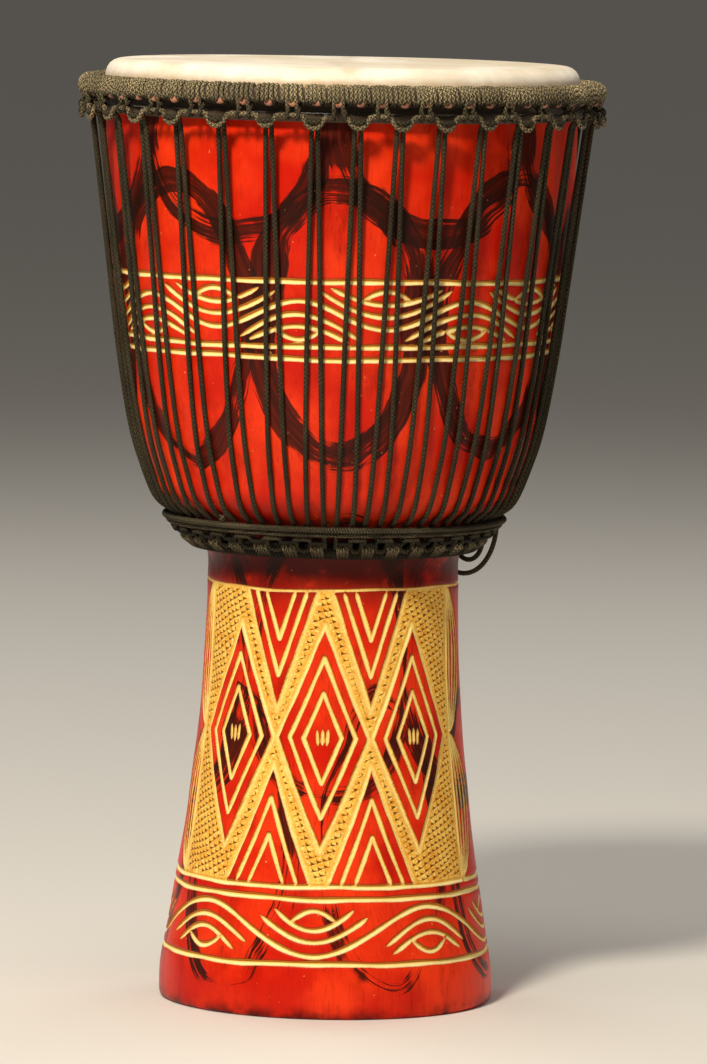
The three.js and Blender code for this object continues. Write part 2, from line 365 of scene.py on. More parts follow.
def brush_layer(g, under, place, angle, z, oval):
    """Black dry-brush ovals painted over a colour, evenly spaced round the drum."""
    count, first, middle, half_angle, half_height, half_width, radius, dryness = oval
    period = 360 / count
    turn = angle - first
    cell = g.math("FLOOR", turn * (1 / period) + 0.5)
    number = g.math("FLOORED_MODULO", cell, float(count)) + first
    pick = g.node("ShaderNodeTexWhiteNoise", {1: number}, 1, noise_dimensions="1D")
    chance = g.split(pick)
    wander = g.noise(place, 0.015, 2.0) - 0.5
    wide, tall = math.radians(half_angle) * radius, half_height

    # The oval in its own units (rho is 1 on it), and the distance across the stroke.
    q = (turn + cell * -period) * (1 / half_angle)
    q = q + ((chance[0] - 0.5) * 0.16 + wander * 0.42)
    v = (z - middle) * (1 / tall)
    v = v + ((chance[1] - 0.5) * 0.14 + wander * -0.34)
    rho = g.math("SQRT", q * q + v * v)
    qa, vb = q * (1 / wide), v * (1 / tall)
    slope = g.math("SQRT", qa * qa + vb * vb)
    width = (0.8 + chance[2] * 0.4) * half_width
    offset = rho * (rho - 1.0) / g.math("MAXIMUM", slope, 0.0001)
    across = offset / width

    # Bristle streaks along the stroke, which thin out as the brush dries.
    turns = g.math("ARCTAN2", q, v) * (0.5 / math.pi)
    lap = g.math("FRACT", turns + chance[1] * 3.0)
    along = lap * (2 * math.pi * (wide + tall) / 2)
    bristle = g.join(across * 3.4, along * 0.012, chance[0] * 40.0)
    streak = g.noise(bristle, 1.0, 6.0, 0.75)
    ragged = (g.noise(g.join(along * 0.03, chance[0]), 1.0) - 0.5) * 0.9
    reach = abs(across + ragged)
    spread = g.join(along * 0.018, chance[2] * 9.0)
    patchy = g.step(g.noise(spread, 1.0, 3.0, 0.6), 0.38, 0.66)
    worn = dryness + reach ** 3.0 * 0.15
    cover = patchy * 0.24 + lap * 0.08 + worn
    painted = g.step(streak - cover, -0.03, 0.035) * g.step(reach, 1.12, 1.0)
    painted = painted * g.step(streak, 0.3, 0.6, 0.8, 0.97)
    return g.mix(painted, under, (0.022, 0.0055, 0.003))


def painted_wood():
    """Red stain and varnish over wood, black dry-brush strokes, and gouged raw-wood lines."""
    g = Graph("painted_wood")
    place = g.place()
    x, y, z = g.split(place)
    flat_s, flat_z, _ = g.split(g.attribute("flat", "Vector"))
    edge, upper, ground = g.split(g.attribute("cut", "Vector"))
    angle = g.math("ARCTAN2", x, y * -1.0) * (180 / math.pi)

    # Red stain: mottled, with grain lines that run up the log; painted shade darkens it round the
    # waist, under the bowl, and it is darker near the base edge.
    grain = g.noise(g.join(x * 0.9, y * 0.9, z * 0.02), 1.1, 5.0, 0.6)
    mottle = g.noise(place, 0.016, 4.0, 0.55)
    stain = g.mix(g.step(mottle, 0.36, 0.68), (0.58, 0.011, 0.002), (0.86, 0.045, 0.007))
    stain = g.mix(g.step(grain, 0.50, 0.78, 0.0, 0.55), stain, (0.36, 0.006, 0.002))
    cloud = g.noise(g.join(x, y, z * 0.35), 0.045, 5.0, 0.65)
    stain = g.mix(g.step(cloud, 0.50, 0.75, 0.0, 0.70), stain, (0.34, 0.006, 0.001))
    waist = abs(z - WAIST_Z)
    # Painted shade round the waist, under the bowl's overhang.
    waist_shade = g.step(waist, 46.0, 8.0) * g.step(g.noise(place, 0.05, 5.0, 0.6), 0.1, 0.5)
    foot = g.step(z, 11.0, 0.0) * g.step(g.noise(place, 0.08, 5.0, 0.6), 0.3, 0.7)
    stain = g.mix(g.math("MAXIMUM", waist_shade, foot) * 0.94, stain, (0.04, 0.003, 0.002))
    for oval in OVALS:
        stain = brush_layer(g, stain, place, angle, z, oval)

    # Pin-sized chips, and a few hair-thin drying checks along the grain.
    chip = g.step(g.noise(place, 0.30, 2.0, 0.5), 0.745, 0.765)
    stain = g.mix(chip * 0.55, stain, (0.8, 0.42, 0.13))
    check = g.noise(g.join(x * 0.5, y * 0.5, z * 0.035), 0.8, 2.0, 0.4)
    hair = g.step(abs(check - 0.5), 0.008, 0.002)
    hair = hair * g.step(cloud, 0.5, 0.62)
    stain = g.mix(hair * 0.6, stain, (0.08, 0.004, 0.002))

    # Raw wood in the gouges, with painted light and shade: pale on the lower wall, dark on the
    # upper wall under the lip.
    grit = g.noise(place, 0.55, 3.0, 0.6)
    line = g.step(edge + (grit - 0.5) * 0.4, 0.12, -0.12)
    lip = upper + (grit - 0.5) * 0.25
    gold = g.mix(g.step(lip, -0.9, 0.3), (1.0, 0.90, 0.50), (1.0, 0.74, 0.20))
    gold = g.mix(g.step(lip, 0.08, 0.50), gold, (0.40, 0.13, 0.010))
    worn_edge = g.step(edge + grit * 0.7, -0.8, 0.4, 0.0, 0.7)
    gold = g.mix(worn_edge, gold, (0.55, 0.20, 0.018))

    # Hatched ground: crossing cuts with a small three-cornered notch at each crossing.
    bend = g.math("SINE", flat_s * 0.05) * 1.6
    bend = bend + (g.noise(place, 0.05, 2.0) - 0.5) * 5.0

    def hatching(share_s, share_z, pitch):
        """How far a point is across its cut of a set of parallel cuts, from 0 to 1."""
        across = flat_s * share_s + flat_z * share_z + bend
        return g.math("FRACT", across * (1 / pitch))

    fa, fb = hatching(-0.34, 0.94, 4.0), hatching(0.95, 0.31, 4.1)
    size = 0.34 + g.noise(place, 0.2, 2.0) * 0.36
    notch = g.step(fa + fb * 0.8, size + 0.07, size - 0.07)
    notch = notch * g.step(edge, 0.9, 1.7)
    cut = g.math("MAXIMUM", g.step(fa, 0.2, 0.02), g.step(fb, 0.16, 0.02) * 0.6)
    cut = cut * g.step(edge, 0.3, 1.2)
    tone = g.step(g.noise(place, 0.10, 4.0, 0.65), 0.3, 0.7)
    raw = g.mix(tone, (0.80, 0.35, 0.030), (1.0, 0.60, 0.10))
    raw = g.mix(g.step(grit, 0.50, 0.68), raw, (1.0, 0.76, 0.24))
    raw = g.mix(g.step(grit, 0.46, 0.32, 0.0, 0.45), raw, (0.62, 0.24, 0.02))
    raw = g.mix(cut * 0.6, raw, (0.45, 0.15, 0.012))
    raw = g.mix(notch * 0.9, raw, (0.17, 0.035, 0.006))
    inside_ground = g.step(ground, 0.25, -0.25)

    colour = g.mix(inside_ground, stain, raw)
    # Painted shade: a dark rim along each line's edge, strongest on its upper side.
    edge_shade = g.step(abs(edge - 0.15), 0.55, 0.1)
    edge_shade = edge_shade * g.step(upper, 0.0, 0.8, 0.25, 0.85)
    colour = g.mix(edge_shade * (1 - inside_ground), colour, (0.13, 0.022, 0.005))
    colour = g.mix(line * (1 - inside_ground * 0.6), colour, gold)
    bare = g.math("MAXIMUM", line, inside_ground)

    fine = g.bump(g.noise(g.join(x, y, z * 0.12), 1.6, 3.0, 0.6), 0.1)
    tool = g.bump(g.noise(place, 0.045, 2.0, 0.4), 1.2, fine, 0.5)
    hatch = inside_ground * (notch * -1.0 + cut * -0.5)
    carved = g.bump(hatch + line * grit * 0.15, 0.9, tool, 0.8)
    varnish = g.step(grain, 0.3, 0.8, 0.30, 0.42)
    return g.set(Base_Color=colour, Roughness=varnish + bare * 0.25, Normal=carved,
                 Coat_Weight=(1 - bare) * 0.07, Coat_Roughness=0.20, Specular_IOR_Level=0.08)


def bare_wood():
    """The hollowed inside: unfinished wood with the marks of the adze."""
    g = Graph("bare_wood")
    place = g.place()
    x, y, z = g.split(place)
    grain = g.noise(g.join(x * 0.5, y * 0.5, z * 0.02), 1.0, 5.0, 0.6)
    colour = g.mix(g.step(grain, 0.3, 0.7), (0.30, 0.16, 0.075), (0.50, 0.31, 0.16))
    damp = g.step(g.noise(place, 0.02, 3.0), 0.45, 0.75, 0.0, 0.6)
    colour = g.mix(damp, colour, (0.16, 0.08, 0.04))
    cells = {"Vector": g.join(x, y, z * 0.45), "Scale": 0.07}
    cells = g.node("ShaderNodeTexVoronoi", cells, "Distance", feature="SMOOTH_F1")
    cuts = g.bump(cells, 2.5, g.bump(grain, 0.3))
    return g.set(Base_Color=colour, Roughness=0.82, Normal=cuts)


def goatskin():
    """Shaved goatskin: cream, cloudy, with pores, a faint spine and a tanned, soiled edge; painted
    shade turns the part tucked under the crown nearly black.
    """
    g = Graph("goatskin")
    place = g.place()
    x, y, z = g.split(place)
    clouds = g.noise(g.join(x, y * 0.7, z), 0.016, 5.0, 0.6)
    colour = g.mix(g.step(clouds, 0.35, 0.68), (0.76, 0.66, 0.50), (0.90, 0.86, 0.77))
    fibres = g.noise(g.join(x * 0.12, y * 0.5, z), 0.5, 5.0, 0.65)
    colour = g.mix(g.step(fibres, 0.52, 0.78, 0.0, 0.40), colour, (0.62, 0.47, 0.30))
    spine = abs(x + (g.noise(place, 0.01, 2.0) - 0.5) * 26.0)
    spine = g.step(spine, 15.0, 3.0) * g.step(g.noise(place, 0.09, 4.0, 0.6), 0.35, 0.7)
    colour = g.mix(spine * 0.5, colour, (0.52, 0.38, 0.24))
    far = g.math("SQRT", x * x + y * y)
    worn = g.step(far, 128.0, 141.0) * g.step(g.noise(place, 0.07, 4.0, 0.6), 0.3, 0.7)
    colour = g.mix(worn * 0.35, colour, (0.62, 0.5, 0.36))
    low = g.step(z + g.noise(place, 0.1, 3.0) * 5.0, 597.0, 589.0)
    colour = g.mix(low * 0.8, colour, (0.5, 0.31, 0.13))
    # Painted shade: the skin tucked down under the crown is darkened to near-black.
    tucked_shade = g.step(z + g.noise(place, 0.06, 3.0) * 8.0, 590.0, 583.0)
    colour = g.mix(tucked_shade * 0.93, colour, (0.022, 0.011, 0.005))
    pores = g.node("ShaderNodeTexVoronoi", {"Vector": place, "Scale": 1.1}, "Distance")
    pitted = g.bump(g.math("MINIMUM", pores, 0.5), 0.12, g.bump(fibres, 0.25), 0.6)
    colour = g.mix(g.step(pores, 0.22, 0.05, 0.0, 0.25), colour, (0.55, 0.42, 0.28))
    dull = g.step(clouds, 0.3, 0.8, 0.42, 0.58) + tucked_shade * 0.4
    return g.set(Base_Color=colour, Roughness=dull, Normal=pitted, Subsurface_Weight=0.12,
                 Subsurface_Radius=(0.004, 0.0025, 0.0015), Sheen_Weight=0.1)


def braided(name, dark, light, pitch, fleck, rib=0.35, painted_shade=False):
    """Braided rope: plaited cells along the run, with fuzz; fleck is the share of paler cells.

    With painted shade on, the rope is darkened to nearly black where the mesh's light value is 0."""
    g = Graph(name)
    u, v, _ = g.split(g.node("ShaderNodeUVMap", {}, uv_map="run"))
    a = u * (1 / pitch) + v * PLAITS
    b = u * (1 / pitch) - v * PLAITS
    wave_a = g.math("SINE", a * math.pi)
    wave_b = g.math("SINE", b * math.pi)
    over = g.step(wave_a * wave_b, -0.12, 0.12)
    rise_a, rise_b = abs(wave_a), abs(wave_b)
    height = over * rise_a + (1 - over) * rise_b
    place = g.place()
    cell = g.join(g.math("FLOOR", a), g.math("FLOOR", b), g.noise(place, 0.01, 1.0) * 2.0)
    pick = g.node("ShaderNodeTexWhiteNoise", {0: cell})
    fuzz = g.noise(place, 3.0, 3.0, 0.7)
    faded = g.step(g.noise(place, 0.03, 3.0), 0.35, 0.7)
    # Painted shade: the grooves between the plaits are darkened to about a third.
    colour = g.mix(g.step(height, 0.1, 0.8), tuple(0.35 * c for c in dark), dark)
    pale = g.step(pick, 1 - fleck, 1.02 - fleck) * g.step(height, 0.3, 0.8)
    colour = g.mix(pale * (0.45 + faded * 0.5), colour, light)
    colour = g.mix(g.step(fuzz, 0.6, 0.75) * 0.12, colour, light)
    # Painted shade: nearly black where the mesh's light value is low.
    if painted_shade:
        colour = g.mix(g.attribute("lit_share"), tuple(0.2 * c for c in dark), colour)
    return g.set(Base_Color=colour, Roughness=0.86, Specular_IOR_Level=0.2,
                 Normal=g.bump(height + fuzz * 0.3, rib))


def wrap_cloth():
    """A strip of worn red-brown cotton, near-black with painted shade except where it bulges out.
    """
    g = Graph("wrap_cloth")
    place = g.place()
    worn = g.noise(place, 0.12, 4.0, 0.65)
    colour = g.mix(g.step(worn, 0.35, 0.65), (0.30, 0.075, 0.035), (0.72, 0.30, 0.17))
    # Painted shade: near-black in the creases between the turns, except where the cloth bulges out.
    colour = g.mix(g.step(g.attribute("bulge"), 0.05, 0.45), (0.055, 0.018, 0.010), colour)
    weave = g.node("ShaderNodeTexChecker", {"Vector": place, "Scale": 2.2}, 1)
    colour = g.mix(weave * 0.25, colour, (0.12, 0.04, 0.025))
    return g.set(Base_Color=colour, Roughness=0.95, Sheen_Weight=0.3,
                 Normal=g.bump(weave + worn, 0.3))


def ring_steel():
    """Mild steel rod, dull and a little rusty."""
    g = Graph("ring_steel")
    place = g.place()
    rust = g.step(g.noise(place, 0.09, 5.0, 0.65), 0.5, 0.68)
    colour = g.mix(rust, (0.32, 0.31, 0.30), (0.19, 0.075, 0.035))
    x, y, z = g.split(place)
    scratches = g.noise(g.join(x, y, z * 8.0), 0.5)
    return g.set(Base_Color=colour, Metallic=g.step(rust, 0.2, 0.8, 1.0, 0.0),
                 Roughness=rust * 0.45 + scratches * 0.5, Normal=g.bump(rust + scratches, 0.15))


# ---- Carved lines on the log: (angle, height) paths ----
LINE_HALF = 1.85  # half width of a gouged line
SAMPLE_STEP = 0.45
PANEL_ANGLE = -3.0  # middle of the front panel; its twin is on the back
PANEL_HALF = 67.3  # half angle
PANEL_LOW, PANEL_MIDDLE, PANEL_HIGH = 83.0, 176.0, 269.0


class Carving:
    """Collects gouged lines as dense samples on the wood, with a half width at each."""

    def __init__(self):
        self.points, self.halves = [], []

    def line(self, path, half=LINE_HALF, taper=6.0):
        """Adds a line; its ends narrow over `taper` millimetres."""
        run = lengths(on_wood(path))
        places = np.linspace(0, run[-1], max(2, int(run[-1] / SAMPLE_STEP)))
        path = np.stack([np.interp(places, run, path[:, k]) for k in (0, 1)], 1)
        shake = RNG.uniform(0, 6.28, 3)
        uneven = 0.09 * np.sin(places / 9 + shake[0]) + 0.06 * np.sin(places / 3.7 + shake[1])
        widths = half * (1 + uneven)
        if taper > 0:
            ends = np.minimum(places, run[-1] - places)
            widths = widths * np.clip((ends + 0.4) / taper, 0, 1) ** 0.55
        path[:, 1] += 0.30 * np.sin(places / 23 + shake[2]) + 0.18 * np.sin(places / 8 + shake[0])
        self.points.append(on_wood(path))
        self.halves.append(widths)

    def level(self, z, half=LINE_HALF):
        """A line right round the drum, as level as a hand cuts it."""
        angle = np.linspace(-180, 180, 721)
        shake = RNG.uniform(0, 6.28, 3)
        a = np.radians(angle)
        rise = 0.6 * np.sin(a + shake[0]) + 0.35 * np.sin(3 * a + shake[1])
        rise += 0.2 * np.sin(7 * a + shake[2])
        self.line(np.stack([angle, z + rise], 1), half, taper=0)


def bow(centre, half_width, top, drop):
    """A path that bows up to `top` in the middle and falls by `drop` at its ends."""
    u = np.linspace(-1, 1, 41)
    return np.stack([centre + half_width * u, top - drop * (1 - np.cos(0.5 * np.pi * u))], 1)


def wave_band(carving, middle, rise, count, first_hill, arcs, eye):
    """A wave round the drum with nested arcs in every hill and valley; the inner one holds an eye.

    Each arc is (height of its top, half width, fall to its ends), eye is (half width, height of
    its corners, height of its far lid): widths in wave lengths, heights in half wave heights.
    """
    period = 360 / count
    angle = np.linspace(first_hill - 180, first_hill + 180, 1441)
    wave = middle + rise * np.cos(np.radians(count * (angle - first_hill)))
    carving.line(np.stack([angle, wave], 1), taper=0)
    for k in range(2 * count):
        centre = first_hill + k * period / 2
        up = rise if k % 2 == 0 else -rise
        lid = (eye[2], eye[0], eye[2] - eye[1])
        for top, width, drop in (*arcs, lid):
            stretch = RNG.uniform(0.93, 1.07)
            path = bow(centre, stretch * width * period, top, drop)
            carving.line(np.stack([path[:, 0], middle + up * path[:, 1]], 1), half=1.7, taper=7)


def holds(polygon, path):
    """Which rows of a path lie inside a closed polygon, by the even-odd rule."""
    x, y = path[:, 0], path[:, 1]
    inside = np.zeros(len(path), bool)
    for (x0, y0), (x1, y1) in zip(polygon, np.roll(polygon, -1, axis=0)):
        crosses = (y0 > y) != (y1 > y)
        with np.errstate(divide="ignore", invalid="ignore"):
            inside ^= crosses & (x < (x1 - x0) * (y - y0) / (y1 - y0) + x0)
    return inside


# The foot's panel is a plain geometric ornament: lozenges in a row, and teeth that point at the
# gaps between them. Sizes are (half angle, height) pairs on the drum.
LOZENGE_COLUMNS, LOZENGE_SIZE = (-42.0, 0.0, 42.0), (20.5, 72.0)
TOOTH_COLUMNS, TOOTH_SIZE, TOOTH_START = (-21.0, 21.0), (18.0, 76.0), 1.2
NESTED = ((1.0, 1.9), (0.70, 1.5), (0.40, 1.5))  # (share of the size, half width of the line)
LEAF_BULGES = (15.5, 11.0, 6.8, 3.0)


def carved_panel(carving, middle):
    """Nested lozenges and teeth, cut as lines; returns the polygons that stay stained red."""
    shapes = []
    for column in LOZENGE_COLUMNS:
        centre = (middle + column, PANEL_MIDDLE)
        lozenge = np.array([(0, 1), (1, 0), (0, -1), (-1, 0), (0, 1)]) * LOZENGE_SIZE
        shapes.append(lozenge + centre)
        for share, half in NESTED:
            carving.line(share * lozenge + centre, half, taper=0)
        for turn in (-2.4, 0.0, 2.4):
            seed = np.array([(turn, 5.0), (0.8 * turn, -5.0)]) + centre
            carving.line(seed, half=1.1, taper=3.0)
    for column in TOOTH_COLUMNS:
        for edge, way in ((PANEL_HIGH, -1), (PANEL_LOW, 1)):
            tooth = np.array([(-1, 0), (0, way), (1, 0)]) * TOOTH_SIZE
            shapes.append(tooth + (middle + column, edge))
            start = (middle + column, edge + TOOTH_START * way)
            for share, half in NESTED:
                carving.line(share * tooth + start, half, taper=3)
    for side in (-1, 1):
        border = middle + side * PANEL_HALF
        heights = np.linspace(PANEL_LOW, PANEL_HIGH, 41)
        carving.line(np.stack([np.full(41, border), heights], 1), half=1.5, taper=0)
        for low, high in ((PANEL_LOW, PANEL_MIDDLE), (PANEL_MIDDLE, PANEL_HIGH)):
            t = np.linspace(0, 1, 41)
            for bulge in LEAF_BULGES:
                angle = border + side * bulge * np.sin(np.pi * t) ** 0.8
                carving.line(np.stack([angle, low + (high - low) * t], 1), half=1.35, taper=8)
    return shapes


LEVEL_LINES = (82.3, 75.6, 34.0, 466.4, 426.3, 419.5)
FOOT_BAND = {"middle": 54.8, "rise": 14.8, "count": 4, "first_hill": -49.5,
             "arcs": ((0.44, 0.215, 1.05), (-0.08, 0.165, 0.86)), "eye": (0.095, -0.41, -0.92)}
BOWL_BAND = {"middle": 446.2, "rise": 8.9, "count": 8, "first_hill": -55.0,
             "arcs": ((0.06, 0.37, 1.75), (-0.76, 0.30, 1.12)), "eye": (0.15, -1.04, -1.72)}


def carve_log():
    """All gouged lines, and the polygons inside the panels that are not hatched."""
    carving = Carving()
    for z in LEVEL_LINES:
        carving.level(z)
    carving.level(PANEL_HIGH, half=0.95)
    wave_band(carving, **FOOT_BAND)
    wave_band(carving, **BOWL_BAND)
    panels = [(middle, carved_panel(carving, middle))
              for middle in (PANEL_ANGLE, PANEL_ANGLE + 180)]
    return np.vstack(carving.points), np.concatenate(carving.halves), panels


def nearest(samples, points):
    """For each point, the index of the nearest sample and the distance to it."""
    tree = kdtree.KDTree(len(samples))
    for index, sample in enumerate(samples):
        tree.insert(sample, index)
    tree.balance()
    found = [tree.find(point) for point in points]
    return np.array([f[1] for f in found]), np.array([f[2] for f in found])


# ---- Shell ----
SEAM_Z = 300.0  # the log's two mesh pieces meet here, under the waist cords
SEAM_INSIDE = (float(np.interp(SEAM_Z, INSIDE[:, 1], INSIDE[:, 0])), SEAM_Z)
GOUGE_DEPTH, GROUND_DEPTH = 1.25, 0.75
FAR = 9.0  # the edge distance given to points that are not near a line


def outline(start, outer_heights, top, inner_low, inner_high):
    """A closed (radius, height) outline: up the outside, then down the inside."""
    outer = [(float(wood_radius(z)), z) for z in outer_heights]
    inner = [(r, z) for r, z in INSIDE[::-1] if inner_low < z < inner_high]
    return np.array(start + outer + top + inner)


def shell_piece(name, rows, columns, last_outer, carving, materials):
    """Half of the log as a carved grid; rows is its closed outline, and rows 1 to last_outer
    are carved.

    Its "cut" values are the distance past a line's edge, the height over the line's middle and
    -1 on hatched ground; its "flat" values are the place on the panel, rolled out flat."""
    samples, halves, panels = carving
    angle = 360 * np.arange(columns) / columns - 180
    r, z = rows[:, 0][:, None], rows[:, 1][:, None]
    a, r, z = np.broadcast_arrays(angle[None, :], r, z)
    outer = np.zeros(rows.shape[0], bool)
    outer[1:last_outer] = True
    outer = np.repeat(outer, columns)
    points = around(a, r, z).reshape(-1, 3)
    flat_angle, flat_z = a.ravel(), z.ravel()

    cut = np.tile((FAR, 0.0, 1.0), (len(points), 1))
    index, distance = nearest(samples, points[outer])
    cut[outer, 0] = np.clip(distance - halves[index], -3, FAR)
    cut[outer, 1] = np.clip((points[outer, 2] - samples[index, 2]) / LINE_HALF, -1.5, 1.5)

    turn = (flat_angle - PANEL_ANGLE + 90) % 180 - 90
    hatched = outer & (np.abs(turn) < PANEL_HALF) & (flat_z > PANEL_LOW) & (flat_z < PANEL_HIGH)
    for middle, shapes in panels:
        laps = np.round((middle - flat_angle) / 360)
        where = np.stack([flat_angle + 360 * laps, flat_z], 1)
        for shape in shapes:
            hatched &= ~holds(shape, where)
    cut[hatched, 2] = -1

    flat = np.column_stack([np.radians(turn) * wood_radius(flat_z), flat_z, 0 * flat_z])
    gouge = GOUGE_DEPTH * np.clip(-cut[:, 0] / LINE_HALF, 0, 1) ** 0.7
    a = np.radians(flat_angle)
    facets = 0.22 * np.sin(9 * a + flat_z / 31) * np.sin(flat_z / 17 + 4 * a)
    sink = np.maximum(gouge, GROUND_DEPTH * hatched) + facets * (flat_z > 12)
    direction = np.column_stack([np.sin(a), -np.cos(a)])
    points[:, :2] -= direction * np.where(outer, sink, 0)[:, None]

    faces = grid_faces(len(rows), columns, close_rows=True)
    piece = make_piece(name, points, faces.tolist(), ["shell"], materials,
                       values={"cut": cut, "flat": flat})
    bare = np.arange(len(faces)) // columns >= last_outer - 1
    piece.data.polygons.foreach_set("material_index", bare.astype(np.int32))


def build_shell(paint, bare):
    """The log in two mesh pieces, with close rows where lines are carved."""
    carving = carve_log()
    heights = np.concatenate([np.arange(5, 29, 4), np.arange(29.5, 272, 1.1),
                              np.arange(274, SEAM_Z, 4), [SEAM_Z]])
    rows = outline(BASE_EDGE, heights, [SEAM_INSIDE], 0.5, SEAM_Z)
    shell_piece("shell_foot", rows, 600, len(BASE_EDGE) + len(heights), carving, [paint, bare])
    heights = np.concatenate([[SEAM_Z, 303, 306], np.arange(309, 414, 4.5),
                              np.arange(415, 470, 1.2), np.arange(472, 589, 4.5)])
    rows = outline([SEAM_INSIDE], heights, RIM_EDGE, SEAM_Z, 589)
    shell_piece("shell_bowl", rows, 720, 1 + len(heights), carving, [paint, bare])


# ---- Head and rings ----
# The skin's upper and under side where it goes over the rim: (radius, drop below the top).
SKIN_TOP_EDGE = [(140.6, 0.05), (143.2, 0.45), (145.8, 1.4), (148.2, 3.2), (150.0, 5.8),
                 (151.1, 8.9), (151.4, 12.5), (151.4, 18), (151.4, 24)]
SKIN_UNDER_EDGE = [(150.35, 24), (150.35, 18), (150.35, 12.5), (150.0, 9.3), (149.1, 6.8),
                   (147.5, 4.6), (145.3, 2.7), (142.9, 1.6), (140.4, 1.2)]
SKIN_SAG = 0.10


def build_drumhead(material):
    """Skin over the bearing edge, down the rim and folded up round the flesh ring."""
    top, thick = HEIGHT, 1.1
    ring_r, ring_z = FLESH_RING
    fold = FLESH_ROD + 0.3
    flat_radii = (40, 80, 115, 132, 138)
    upper = [(r, top) for r in flat_radii]
    upper += [(r, top - drop) for r, drop in SKIN_TOP_EDGE]
    lower = [(r, top - drop) for r, drop in SKIN_UNDER_EDGE]
    lower += [(r, top - thick) for r in flat_radii[::-1]]
    turns = np.radians(np.linspace(180, 395, 12))
    folds = [[(ring_r + size * math.cos(t), ring_z + size * math.sin(t)) for t in turns]
             for size in (fold, fold + thick)]
    profile = np.array(upper + folds[0] + folds[1][::-1] + lower)
    columns = 288
    angle = 360 * np.arange(columns) / columns
    a, r, z = np.broadcast_arrays(angle[None, :], profile[:, :1], profile[:, 1:])
    rad = np.radians(a)
    lip = np.zeros(len(profile))
    lip[len(upper) + 8:len(upper) + 16] = 1.0
    collar = np.clip((top - 4 - z) / 12, 0, 1) * (z > ring_z + 5)
    pleat = 0.22 * collar * np.sin(rad * 68 + 1.5 * np.sin(rad * 7))
    ragged = lip[:, None] * (0.8 * np.sin(rad * 23 + 1) + 0.5 * np.sin(rad * 51 + 2))
    face = 1 - np.clip((top - 2 - z) / 2, 0, 1)
    sway = face * 0.10 * np.sin(rad * 5 + 1) * np.clip((r - 60) / 80, 0, 1)
    points = around(a, r + pleat - 0.22 * collar, z + ragged - SKIN_SAG + sway).reshape(-1, 3)
    faces = grid_faces(len(profile), columns).tolist()
    centre, last = len(points), (len(profile) - 1) * columns
    for j in range(columns):
        k = (j + 1) % columns
        faces += [[centre, k, j], [centre + 1, last + j, last + k]]
    points = np.vstack([points, [(0, 0, top - SKIN_SAG)], [(0, 0, top - thick - SKIN_SAG)]])
    faces = [corners[::-1] for corners in faces]
    make_piece("drumhead", points, faces, ["drumhead"], [material])


def build_ring(name, place, rod, material):
    """A ring of round steel rod."""
    rod_tube = ring_tube(place, lambda phi, theta: rod + 0 * (phi + theta), 360, 16)
    make_strand(name, material, rod_tube)


# ---- Rope work ----
ROPE_SIDES = 8
CORD_STEP = 1.3  # spacing of the points along the loop cords


def hull_section(circles, theta):
    """The outline of a string drawn tight round (radius, height, size) circles."""
    direction = np.stack([np.cos(theta), np.sin(theta)], 1)
    reach = np.stack([c[0] * direction[:, 0] + c[1] * direction[:, 1] + c[2] for c in circles], 1)
    chosen = np.array(circles)[np.argmax(reach, axis=1)]
    return chosen[:, :2] + direction * chosen[:, 2:]


def eight_section(upper, lower):
    """A figure of eight round two (radius, height, size) circles: down the outside of the upper
    one, behind the lower one, up its front and back inside the upper one."""
    away = np.array(lower[:2]) - np.array(upper[:2])
    heading = math.atan2(away[1], away[0])
    open_angle = math.acos((upper[2] + lower[2]) / math.hypot(*away))
    leave, back = heading + open_angle, heading - open_angle
    first = np.linspace(math.pi / 2, leave, 10)
    second = np.linspace(leave + math.pi, back + 3 * math.pi, 10)
    third = np.linspace(back, -1.5 * math.pi, 11)[:-1]
    rows = [np.stack([r + size * np.cos(t), z + size * np.sin(t)], 1)
            for (r, z, size), t in ((upper, first), (lower, second), (upper, third))]
    return np.vstack(rows)


def wound_rope(turns, sections, rope, splay=lambda k, section: 0):
    """A rope wound round and round: turns are angles, sections the outline of each turn, and
    splay pushes parts of a turn aside."""
    rows = []
    for k, section in enumerate(sections):
        angle = turns[k] + (turns[k + 1] - turns[k]) * np.arange(len(section)) / len(section)
        rows.append(around(angle + splay(k, section), section[:, 0], section[:, 1]))
    return tube(np.vstack(rows), rope, ROPE_SIDES)


def build_crown_binding(material):
    """Two bunches of turns to a rope pair: one above the dip, one that lashes the loop cord."""
    rope, bunch = 1.3, 5
    ring_r, ring_z = CROWN_RING
    ring_size = CROWN_ROD + 0.80 + rope
    cord = (CROWN_LOOP["radius"] - 0.4, CROWN_LOOP["z"], CROWN_LOOP["cord"] + 0.5 * rope)
    half_pitch, turn_pitch = 15.25, 2.75  # millimetres round the crown
    spread = np.arange(-2, 3) * turn_pitch
    slots = np.concatenate([spread, half_pitch + spread]) / (2 * half_pitch)
    turns = pair_angle((np.arange(PAIRS)[:, None] + slots).ravel())
    count = len(turns)
    turns = np.append(turns, pair_angle(PAIRS + slots[0]))
    turns += np.append(RNG.normal(0, 0.05, count), 0)
    theta = np.pi / 2 - 2 * np.pi * np.arange(24) / 24
    sections = []
    for k in range(count):
        swell = (-0.50, -0.10, 0.0, -0.10, -0.50)[k % bunch] - RNG.uniform(0.0, 0.12)
        wide = (ring_r, ring_z, ring_size + swell)
        lashes = k % (2 * bunch) in (6, 8)
        sections.append(eight_section(wide, cord) if lashes else hull_section([wide], theta))

    def splay(k, section):
        side = np.arctan2(section[:, 1] - ring_z, section[:, 0] - ring_r)
        low = np.exp(-(((side + 0.95) / 0.42) ** 2))
        return low * (-0.30 if k % bunch < 3 else 0.38) * (section[:, 0] > ring_r)

    wound = wound_rope(turns, sections, rope, splay)
    # Painted shade: the turns darken below the crown ring's low side.
    lit_share = np.clip((wound[0][:, 2] - ring_z + 5.0) / 2.5, 0.20, 1)
    make_strand("crown_binding", material, wound, {"lit_share": lit_share})


